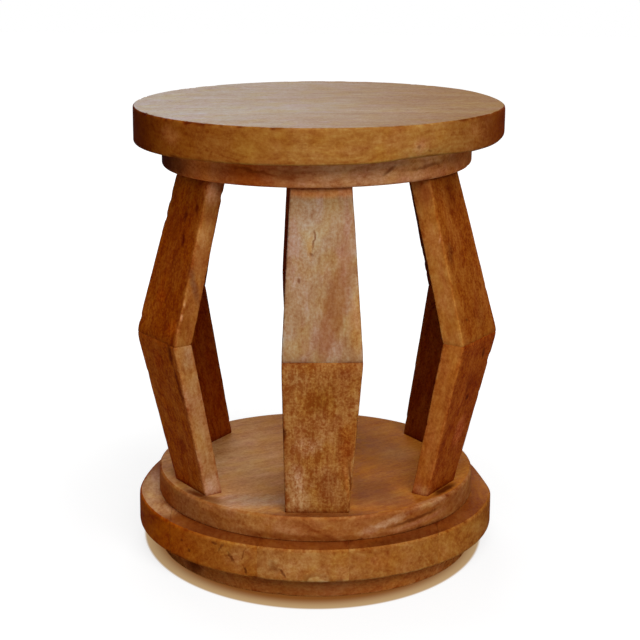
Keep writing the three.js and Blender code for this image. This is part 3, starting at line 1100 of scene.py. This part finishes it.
collar_spots = marks(
    ((44, -140, 405), (100, 300, 300), 0xCE8E5C, 1, 0.8, 8),
    ((-68, -138, 405), (34, 300, 300), 0xB24E12, 0.8, 0.9, 6),
    ((-112, -106, 405), (24, 200, 300), 0xD47230, 0.8, 0.8, 6),
    # Painted shade on the far left of the collar
    ((-152, 0, 405), (46, 400, 300), 0x3E0000, 1, 1, 6),
    ((20, -150, 396), (60, 30, 8), 0xD69A6A, 0.6, 0.7, 6),
    ((-28, -149, 400), (24, 30, 10), 0xA65C2A, 0.6, 0.9, 5),
    # Painted light on the collar's upper right, lifting the seat's shadow there
    ((104, -108, 412), (56, 44, 8), 0xECA462, 0.9, 0.9, 4),
    ((62, -137, 404), (11, 14, 2.4), 0x7C401A, 0.8, 0.8, 2, (0, -35, 25)),
    ((96, -114, 404), (32, 26, 2.4), 0x8C4E24, 0.7, 0.8, 3, (0, -4, 42)),
    ((-97, -116, 404), (3.4, 12, 13), 0xCE763E, 0.7, 0.8),
    ((-60, -139, 403), (34, 20, 2.6), 0x8C3808, 0.8, 0.8, 4, (0, 6, -24)),
    # Painted shade along the collar's top, under the seat
    ((0, 0, 418), (160, 160, 5), 0x7E3C12, 0.7, 1, 2),
)
dress_wood(collar_piece, Wood(0xC26E34, 5.0, spots=collar_spots, mottle=1.3, gloss=0.004))

step_spots = marks(
    # Painted shade on the left end of the step's side
    ((-152, -50, 68), (36, 70, 60), 0xAC4E06, 0.6, 1, 6),
    ((-62, -147, 70), (36, 26, 14), 0xBA783A, 0.8, 1, 6),
    # Painted shade at the step's lower edge, where it meets the base
    ((100, -122, 57), (64, 26, 3.4), 0x743812, 0.8, 0.9, 2, (0, 0, 41)),
    ((100, -122, 64), (62, 26, 4), 0xBC7C52, 0.6, 1, 2, (0, -5, 41)),
    ((94, -126, 68), (50, 22, 2.6), 0x703612, 0.9, 0.8, 2, (0, -5, 37)),
    ((64, -145, 69.5), (38, 10, 5.5), 0xC8946A, 0.85, 0.9, 4, (0, -14, 24)),
    ((112, -112, 78), (42, 14, 5), 0xBA8454, 0.8, 0.9, 4, (0, -3, 46)),
    # Painted shade along the step's lower edge, where it meets the base
    ((-40, -156, 60), (100, 30, 5), 0x864414, 0.8, 0.8),
    ((40, -156, 58), (110, 30, 4), 0x864414, 0.6, 0.8),
    ((-104, -118, 74), (26, 20, 6), 0xC47C44, 0.7, 0.8, 4),
    # Painted shade on the right end of the step's side
    ((138, -88, 68), (40, 40, 40), 0x965424, 0.8, 1, 6),
)
step_top_spots = face_marks(
    80,
    ((-90, 0), (130, 300, 60), 0xCE965C, 1, 1, 10, 0),
    ((-65, -114), (60, 26), 0xB28C6C, 0.8, 0.9, 8, 0),
    ((-104, -112), (30, 14), 0x8C5422, 0.8, 0.9, 4, -40),
    # Painted shadow on the step's top beside the front leg
    ((67, -110), (46, 34), 0x965824, 0.9, 0.9, 8, 0),
    ((0, -154), (100, 22), 0x844A22, 1, 0.9, 5, 0),
    ((-128, -40), (22, 40), 0xAE4C04, 0.8, 0.8, 4, 0),
    ((104, -122), (60, 8, 6), 0xBE8E68, 0.7, 0.9, 3, 46),
    # Painted shadows on the step's top at the feet of the front left and front right legs
    ((-116, -98), (28, 9), 0x6C3210, 1, 0.9, 3, -46),
    ((125, -83), (29, 6.5), 0x5C2606, 1, 0.7, 2, 56),
    # More painted shadow on the step's top beside the front leg
    ((42, -90), (14, 70), 0x8C5226, 0.7, 0.9, 5, 0),
    ((60, -80), (30, 46), 0x8A5026, 0.8, 0.9, 6, 0),
    ((84, 24), (36, 34), 0xC88A4C, 0.6, 1, 6, 0),
)
step_grain = (0.82, 0.57, 0)
step_wood = Wood(0xA86530, 6.0, step_grain, spots=step_spots, mottle=1.2)
step_top_wood = Wood(0xB66C22, 6.0, step_grain, spots=step_top_spots, **LOW_TOP_LOOK)
dress_wood(step_piece, step_wood, step_top_wood)

foot_spots = marks(
    ((-118, -104, 12), (18, 20, 16), 0x6A2602, 0.9, 0.8),
    # Painted shade on the left end of the foot
    ((-150, -30, 12), (40, 110, 30), 0xA65012, 0.8, 1),
    ((0, -158, 12), (96, 40, 30), 0xAE642C, 0.9, 0.9, 8),
)
dress_wood(foot_piece, Wood(0xC47232, 7.0, spots=foot_spots, mottle=1.3))

base_spots = marks(
    # The first two paint shade over the left of the base's side
    ((-190, 0, 40), (46, 300, 300), 0x943200, 1, 1, 8),
    ((-150, -100, 40), (90, 120, 200), 0xAA4A00, 0.9, 1, 8),
    ((-36, -180, 40), (34, 60, 18), 0xBC8046, 0.7, 0.9, 10),
    # Painted shade on the right end of the base's side
    ((188, 10, 40), (36, 200, 200), 0x964A0C, 1, 1, 8),
    ((-130, -122, 24), (44, 30, 5), 0x783006, 0.7, 0.9),
    ((-74, -164, 44), (22, 22, 17), 0xBC7E40, 0.8, 0.9, 6),
    ((-91, -156, 49), (1.8, 10, 8), 0x7E3E14, 0.8, 0.7, 4, (0, 20, 0), 0.2),
    ((-97, -152, 51), (4, 10, 1.8), 0x783A12, 0.8, 0.7, 3, (0, 10, 0), 0.2),
    ((-82, -160, 41), (9, 10, 1.8), 0x7A3C12, 0.9, 0.7, 5, (0, 54, 0), 0.3),
    ((-70, -166, 46), (1.8, 10, 9), 0x844212, 0.8, 0.7, 4, (0, 14, 0), 0.2),
    ((-68, -167, 30), (2, 10, 5), 0x703610, 0.9, 0.7, 3, (0, -20, 0), 0.3),
    ((-130, -125, 44), (2.4, 6, 2), 0x70300A, 0.8, 0.8),
    ((-122, -132, 36), (3, 6, 2.2), 0x6A2C08, 0.8, 0.8),
    ((-40, -176, 38), (6, 12, 10), 0x8C5022, 0.8, 0.7, 5, (0, -35, 0)),
    ((-33, -177, 32), (2.2, 10, 6), 0x703816, 0.8, 0.7, 3, (0, -30, 0), 0.3),
    ((0, -180, 27), (17, 12, 8), 0x8A4E20, 0.9, 0.4),
    ((0, -180, 25), (12, 12, 6), 0xB8824C, 1, 0.4),
    ((20, -179, 26), (6, 10, 2.6), 0x703410, 0.9, 0.7),
    ((-20, -180, 46), (46, 14, 12), 0xB67A3E, 0.6, 0.8, 8),
    ((20, -180, 32), (46, 14, 12), 0xB87E46, 0.6, 0.8, 8),
    ((60, -170, 40), (20, 14, 14), 0xAC6028, 0.5, 0.9, 6),
)
base_top_spots = face_marks(
    56,
    ((-162, -24), (32, 80), 0xCE9A68, 1, 0.8, 4, 0),
    ((-150, -74), (30, 30), 0xC48E5A, 1, 0.8, 4, 0),
    ((-112, -138), (44, 26), 0x7E3C14, 0.9, 0.9, 5, 0),
    ((-172, -20), (7, 60), 0xB07038, 0.7, 0.9, 3, 0),
    ((112, -142), (60, 26), 0x783A14, 0.9, 0.9, 5, 0),
    ((168, -10), (30, 70), 0xAA6424, 0.9, 0.9, 5, 0),
    ((66, -160), (46, 14), 0x682E0A, 0.8, 0.9, 4, 22),
)
BASE_TONES = (0xAA6220, 0xAA6220, 0xAC6C30, 0xA8682C, 0xAB6828)
for i, (piece, tone) in enumerate(zip(base_boards, BASE_TONES)):
    heart = (15 * i - 30, -55)
    side = Wood(tone, 8.0 + i, ALONG_Y, heart=heart, spots=base_spots, mottle=1.4, gloss=0.006)
    face = Wood(0x8E4A1A, 8.0 + i, ALONG_Y, heart=heart, spots=base_top_spots, **LOW_TOP_LOOK)
    dress_wood(piece, side, face)

leg_spots = {}
leg_spots["upper", "front"] = marks(
    ((-6, -150, 350), (24, 30, 44), 0xB2967C, 0.7, 0.9, 6),
    ((-16, -164, 310), (16, 20, 50), 0xB28C70, 0.4, 0.9, 8),
    ((36, -172, 280), (14, 26, 64), 0xB4804A, 0.9, 0.8, 4, (0, 4, 0)),
    ((14, -172, 288), (14, 40, 66), 0x98623A, 0.9, 0.5, 3, (0, 15, 0)),
    ((22, -160, 335), (12, 26, 44), 0xA2704C, 0.7, 0.9, 5, (0, 4, 0)),
    ((-26, -178, 262), (8, 20, 26), 0xAE8A6C, 0.5, 0.9, 5),
    # Painted shade colour: the band where the collar's shadow falls on the leg's top is painted a
    # deeper orange
    ((0, -144, 392), (80, 40, 15), 0xC17E4A, 1, 0.4),
    ((-9, -157, 338), (4, 12, 16), 0xB07C46, 0.7, 0.8, 3, (0, 4, 0)),
    ((-6, -155, 345), (1.3, 8, 14), 0x7A4626, 0.8, 0.7, 3, (0, 4, 0), 0.3),
    ((-8, -158, 331), (2.8, 8, 2.2), 0x784424, 0.8, 0.8, 2, (0, 30, 0), 0.3),
    ((-19, -164, 308), (2, 8, 3.6), 0x7C4628, 0.8, 0.7, 1),
    ((-23, -165, 305), (1.4, 8, 6), 0xC4A68C, 0.6, 0.6, 1),
)
leg_spots["lower", "front"] = marks(
    ((2, -176, 200), (24, 16, 30), 0x96581A, 0.6, 1, 10),
    ((26, -178, 226), (16, 16, 14), 0xA0582E, 0.6, 0.9, 8),
    ((26, -162, 150), (12, 20, 50), 0xAA5618, 0.8, 1, 6),
    ((-10, -166, 150), (18, 16, 14), 0xCE986A, 0.9, 1, 8),
    ((-20, -158, 110), (15, 16, 30), 0xCE986A, 0.9, 1, 8),
    ((-19, -152, 92), (15, 16, 20), 0xD09A64, 0.9, 1, 5),
    ((-22, -176, 222), (12, 16, 14), 0xC08C54, 0.7, 1, 8),
    ((-33, -166, 165), (4, 14, 9), 0x542008, 0.8, 0.6, 2),
    ((26, -154, 116), (2.6, 12, 34), 0xBE7436, 0.9, 0.7, 2, (0, -6, 0)),
    ((30, -154, 116), (1.8, 12, 36), 0x7C380E, 0.8, 0.7, 2, (0, -6, 0)),
    ((-33, -160, 150), (2.4, 12, 44), 0x884616, 0.7, 0.8, 3, (0, 3, 0)),
    ((10, -156, 110), (13, 14, 24), 0x94521C, 0.5, 1, 8),
)
leg_spots["upper", "front_left"] = marks(
    ((-99, -100, 380), (14, 14, 20), 0xD4905E, 1, 0.9),
    ((-107, -107, 340), (12, 12, 20), 0xBA7E3E, 0.8, 0.9),
    ((-124, -124, 258), (14, 12, 30), 0x8E4E14, 0.8, 1, 4),
    ((-116, -118, 296), (6, 6, 36), 0x7E4828, 0.9, 0.8, 2, (6, -12, 0)),
    ((-121, -123, 289), (2.2, 4, 7), 0xE0A468, 0.8, 0.8, 1.5),
    ((-124, -125, 276), (2.2, 4, 6), 0xE0A468, 0.8, 0.8, 1.5),
    ((-127, -127, 264), (2.2, 4, 5), 0xE0A468, 0.7, 0.8, 1.5),
    ((-132, -129, 252), (3, 4, 4), 0xD89656, 0.7, 0.8, 1.5),
    ((-142, -120, 246), (4, 6, 3), 0xC8823C, 0.7, 0.8, 2),
    ((-125, -87, 355), (4.5, 6, 16), 0x682400, 1, 0.8, 4, (0, 8, 0)),
    ((-127, -94, 330), (4, 6, 20), 0x6C2600, 1, 0.8, 4, (0, -10, 0)),
    ((-114, -97, 364), (4, 6, 20), 0x682400, 1, 0.8, 3, (0, -12, 0)),
    ((-131, -91, 327), (1.6, 1.6, 2.4), 0xC87022, 0.8, 0.7, 1),
    ((-134, -93, 316), (1.6, 1.6, 2), 0xC87022, 0.8, 0.7, 1),
    ((-138, -120, 252), (12, 9, 12), 0xC47A38, 0.7, 0.8, 6),
    ((-150, -90, 280), (9, 14, 26), 0xB25C10, 0.6, 0.9, 6),
    ((-128, -71, 376), (20, 20, 26), 0xBA7A34, 0.9, 0.9, 5),
    ((-138, -77, 336), (12, 14, 20), 0x925416, 0.6, 0.9, 5),
    ((-160, -81, 260), (20, 24, 24), 0xB67C42, 0.9, 1, 5),
)
leg_spots["lower", "front_left"] = marks(
    ((-139, -123, 226), (4, 8, 20), 0x682C06, 0.9, 0.7, 2, (0, -8, 0)),
    ((-131, -118, 196), (2.5, 8, 26), 0x703208, 0.8, 0.7, 2, (0, -12, 0)),
    ((-102, -102, 88), (26, 26, 20), 0xCC9C74, 1, 1, 4),
    ((-150, -95, 216), (10, 14, 20), 0xB05C0A, 0.6, 0.9, 6),
    ((-123, -123, 222), (8, 8, 16), 0xB2825C, 0.7, 0.9, 4),
    ((-142, -56, 96), (12, 14, 20), 0xA46630, 0.7, 0.9, 4),
    ((-129, -90, 128), (8, 10, 24), 0x803202, 0.6, 0.9, 5, (0, 12, 0)),
)
leg_spots["upper", "front_right"] = marks(
    ((98, -100, 375), (14, 14, 20), 0xA45820, 0.8, 0.9),
    ((122, -81, 374), (16, 18, 30), 0x924C1A, 0.7, 0.9, 6),
    ((151, -92, 259), (16, 18, 20), 0x96501C, 0.6, 1, 6),
    ((124, -124, 256), (14, 12, 24), 0xA45A1E, 0.8, 1, 4),
    ((111, -114, 338), (2, 3, 14), 0xE09E60, 0.8, 0.7, 1.5, (-4, 12, 0)),
    ((119, -123, 300), (2, 3, 16), 0xE09E60, 0.7, 0.7, 1.5, (-4, 12, 0)),
    ((122, -108, 322), (7, 8, 34), 0x864C28, 0.7, 0.8, 4, (0, 12, 0)),
    ((131, -114, 276), (8, 8, 26), 0xC47E36, 0.6, 0.9, 5, (0, 12, 0)),
    ((148, -96, 270), (8, 14, 34), 0x8C3606, 0.5, 0.9, 6, (0, 12, 0)),
    ((138, -114, 259), (3, 4, 3), 0x5A2406, 0.7, 0.8),
)
leg_spots["lower", "front_right"] = marks(
    ((143, -91, 177), (4, 5, 5), 0x521C02, 0.9, 0.7),
    ((157, -88, 222), (3, 6, 12), 0x602204, 0.8, 0.8, 3, (0, -8, 0)),
    ((146, -90, 188), (14, 18, 28), 0x984616, 0.7, 1, 5, (0, 12, 0)),
    ((140, -96, 196), (8, 10, 22), 0x7A3204, 0.5, 0.9, 5, (0, 10, 0)),
    ((128, -118, 216), (6, 14, 6), 0xD6843C, 0.7, 0.8, 4),
    ((138, -84, 140), (12, 14, 24), 0xE8966E, 0.8, 0.9, 4, (0, 10, 0)),
    ((102, -102, 84), (14, 14, 10), 0xCA9460, 0.8, 1),
)
leg_spots["lower", "back_right"] = marks(
    ((148, 90, 214), (50, 50, 40), 0x804C1C, 0.9, 1, 6),
)
# Each leg's colour for painted shade darkens the faces that lie in shade: the outer faces of the side
# legs and the inside of the back legs
PLAIN_LEG = {
    "tone": 0xA06026, "painted_face_shade": (0.5, 0.18, 0.02), "heart": (18, -50), "ring": 5, "figure": 0.75,
    "mottle": 1.4, "burl": 0.1, "rosy": 0.5, "golden": 0.5,
}
LEG_LOOKS = {
    ("upper", "front"): {"tone": 0xA77F59, "figure": 0.6, "mottle": 0.8},
    ("lower", "front"): {
        "tone": 0xB37438, "figure": 1.5, "mottle": 1.8, "burl": 0.8, "rosy": 0.4, "golden": 0.6},
    ("upper", "front_left"): {"tone": 0xA06128, "painted_face_shade": (0.87, 0.43, 0.05)},
    ("lower", "front_left"): {"tone": 0xB07642, "painted_face_shade": (0.93, 0.42, 0.04)},
    ("upper", "front_right"): {"tone": 0xB46E2C, "painted_face_shade": (0.6, 0.36, 0.11)},
    ("lower", "front_right"): {"tone": 0xB86A28, "painted_face_shade": (0.65, 0.32, 0.08)},
    ("upper", "back_right"): {"painted_face_shade": (0.36, 0.13, 0.02)},
    ("lower", "back_right"): {"painted_face_shade": (0.48, 0.19, 0.02)},
    ("upper", "back_left"): {"painted_face_shade": (0.72, 0.25, 0.02)},
    ("lower", "back_left"): {"painted_face_shade": (0.74, 0.3, 0.02)},
}
foot_reach, knee_reach, top_reach = LEG_REACHES
for i, (leg_name, leg_turn) in enumerate(zip(LEG_NAMES, LEG_TURNS)):
    angle = math.radians(leg_turn)
    outward = Vector((math.sin(angle), -math.cos(angle), 0))
    for half_name, reach, end in (("upper", top_reach, COLLAR_BOTTOM), ("lower", foot_reach, STEP_TOP)):
        key = half_name, leg_name
        along = outward * (reach - knee_reach) + Vector((0, 0, end - KNEE_LEVEL))
        looks = {**PLAIN_LEG, **LEG_LOOKS.get(key, {}), "spots": leg_spots.get(key, ())}
        seed = 20.0 + 2 * i + (half_name == "lower")
        dress_wood(leg_pieces[key], Wood(seed=seed, along=along, up=outward, **looks))

steel = steel_material("screw_steel")
for piece in screws:
    dress(piece, steel)
dowel_material = wood_material("dowel_beech", Wood(0xC9A878, 40.0, (0, 0, 1), (1, 0, 0)))
for name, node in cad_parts.items():
    if name.startswith("knee_dowel"):
        dress(node, dowel_material)
    elif name.startswith("leg_"):
        dress(node, steel)


# Floor, light and camera

FLOOR_REACH = 6.0
FLOOR_DROP = 0.0002
FLOOR_GREY = (0.5, 0.5, 0.5, 1)
FLOOR_LIT = 0.3
NEAR_GLOW = 0.78
WORLD_FILL = 0.1

# Half-widths of the painted shadow where the floor meets the stool, and shares of them where it changes
RING_SHIFT = (0.002, -0.025, 0)
RING_FRONT = 0.212
RING_SIDES = 0.1767
RING_BACK = 0.19
CONTACT_REACH = 0.877
HALO_REACH = 0.981
CLEAR_REACH = 1.0
FADED_REACH = 3.5
# Colours of the painted shadow on the floor: dark brown next to the foot, tan further out
PAINTED_CONTACT_SHADOW = rgb(0x865022)
PAINTED_SHADOW_HALO = rgb(0xBC9C72)

# Under the stool's foot the floor is open, so that the underside can be seen
OPEN_REACH = 0.155


def make_floor():
    """A white floor with a painted shadow round the foot of the stool; it is open there and from below.
    """
    bpy.ops.mesh.primitive_plane_add(size=2 * FLOOR_REACH)
    floor = bpy.context.object
    floor.name = "floor"
    floor.location.z = -FLOOR_DROP
    w = Wiring(bpy.data.materials.new("floor_white"))
    place = w.get("TexCoord", output="Object")
    from_middle = w.length(place)
    ring_scale = (1 / RING_SIDES, 1 / RING_FRONT, 1)
    in_front = w.length(w.vector("MULTIPLY", w.vector("ADD", place, RING_SHIFT), ring_scale))
    reach = w.math("MAXIMUM", in_front, w.scaled(from_middle, 1 / RING_BACK))
    # The painted shadow round the foot, fading to white
    colour = w.mix(w.slope(reach, CONTACT_REACH, HALO_REACH), PAINTED_CONTACT_SHADOW, PAINTED_SHADOW_HALO)
    colour = w.mix(w.slope(reach, HALO_REACH, CLEAR_REACH), colour, WHITE)
    faint = w.mix(1.0, colour, (FLOOR_LIT, FLOOR_LIT, FLOOR_LIT, 1), "MULTIPLY")
    strength = w.slope(reach, CLEAR_REACH, FADED_REACH, NEAR_GLOW, 1.0)
    glow = w.get("Emission", {"Color": colour, "Strength": strength})
    lit = w.get("AddShader", {0: w.get("BsdfDiffuse", {"Color": faint}), 1: glow})
    plain = w.get("BsdfDiffuse", {"Color": FLOOR_GREY})
    shown = w.get("LightPath", output="Is Camera Ray")
    surface = w.get("MixShader", {0: shown, 1: plain, 2: lit})
    below = w.get("NewGeometry", output="Backfacing")
    open_ = w.math("MAXIMUM", below, w.math("LESS_THAN", from_middle, OPEN_REACH))
    surface = w.get("MixShader", {0: open_, 1: surface, 2: w.get("BsdfTransparent")})
    w.node("OutputMaterial", {"Surface": surface})
    dress(floor, w.owner)
    floor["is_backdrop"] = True


def make_world():
    """White where it is seen or mirrored, and a weak fill for everything else."""
    world = bpy.data.worlds.new("studio")
    bpy.context.scene.world = world
    w = Wiring(world)
    rays = w.node("LightPath").outputs
    seen = w.math("MAXIMUM", rays["Is Camera Ray"], rays["Is Glossy Ray"])
    seen = w.math("MAXIMUM", seen, rays["Is Transmission Ray"])
    strength = w.slope(seen, 0.0, 1.0, WORLD_FILL, 1.0, "LINEAR")
    background = w.get("Background", {"Color": WHITE, "Strength": strength})
    w.node("OutputWorld", {"Surface": background})


def softbox(name, azimuth, elevation, distance, size, power):
    """A square lamp that faces the middle of the stool; azimuth 0 is in front and 90 to the right."""
    light = bpy.data.lights.new(name, "AREA")
    light.size = size
    light.energy = power
    lamp = bpy.data.objects.new(name, light)
    a, e = math.radians(azimuth), math.radians(elevation)
    way = Vector((math.sin(a) * math.cos(e), -math.cos(a) * math.cos(e), math.sin(e)))
    lamp.location = Vector((0, 0, SEAT_TOP * MM / 2)) + way * distance
    lamp.rotation_euler = way.to_track_quat("Z", "Y").to_euler()
    bpy.context.scene.collection.objects.link(lamp)


CAMERA_DISTANCE = 1.5832
CAMERA_HEIGHT = 0.6463
CAMERA_PITCH = 14.77
CAMERA_YAW = -0.116
CAMERA_ROLL = 0.56
CAMERA_AZIMUTH = 1.02
FOCAL_PIXELS = 1632
PICTURE_WIDTH = 640
SENSOR_WIDTH = 36


def make_camera():
    """A camera where the photograph was taken from."""
    data = bpy.data.cameras.new("camera")
    data.sensor_fit = "HORIZONTAL"
    data.sensor_width = SENSOR_WIDTH
    data.lens = FOCAL_PIXELS * SENSOR_WIDTH / PICTURE_WIDTH
    camera = bpy.data.objects.new("camera", data)
    angle = math.radians(CAMERA_AZIMUTH)
    back = Vector((-math.sin(angle), -math.cos(angle), 0)) * CAMERA_DISTANCE
    place = Matrix.Translation(back + Vector((0, 0, CAMERA_HEIGHT)))
    turn = Matrix.Rotation(math.radians(CAMERA_YAW - CAMERA_AZIMUTH), 4, "Z")
    tilt = Matrix.Rotation(math.radians(90 - CAMERA_PITCH), 4, "X")
    roll = Matrix.Rotation(math.radians(CAMERA_ROLL), 4, "Z")
    camera.matrix_world = place @ turn @ tilt @ roll
    bpy.context.scene.collection.objects.link(camera)
    bpy.context.scene.camera = camera


make_floor()
make_world()
softbox("key", 13, 42, 2.6, 1.9, 60)
softbox("back", 192, 32, 2.6, 1.5, 22)
make_camera()
bpy.context.scene.view_settings.view_transform = "Standard"

low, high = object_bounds()
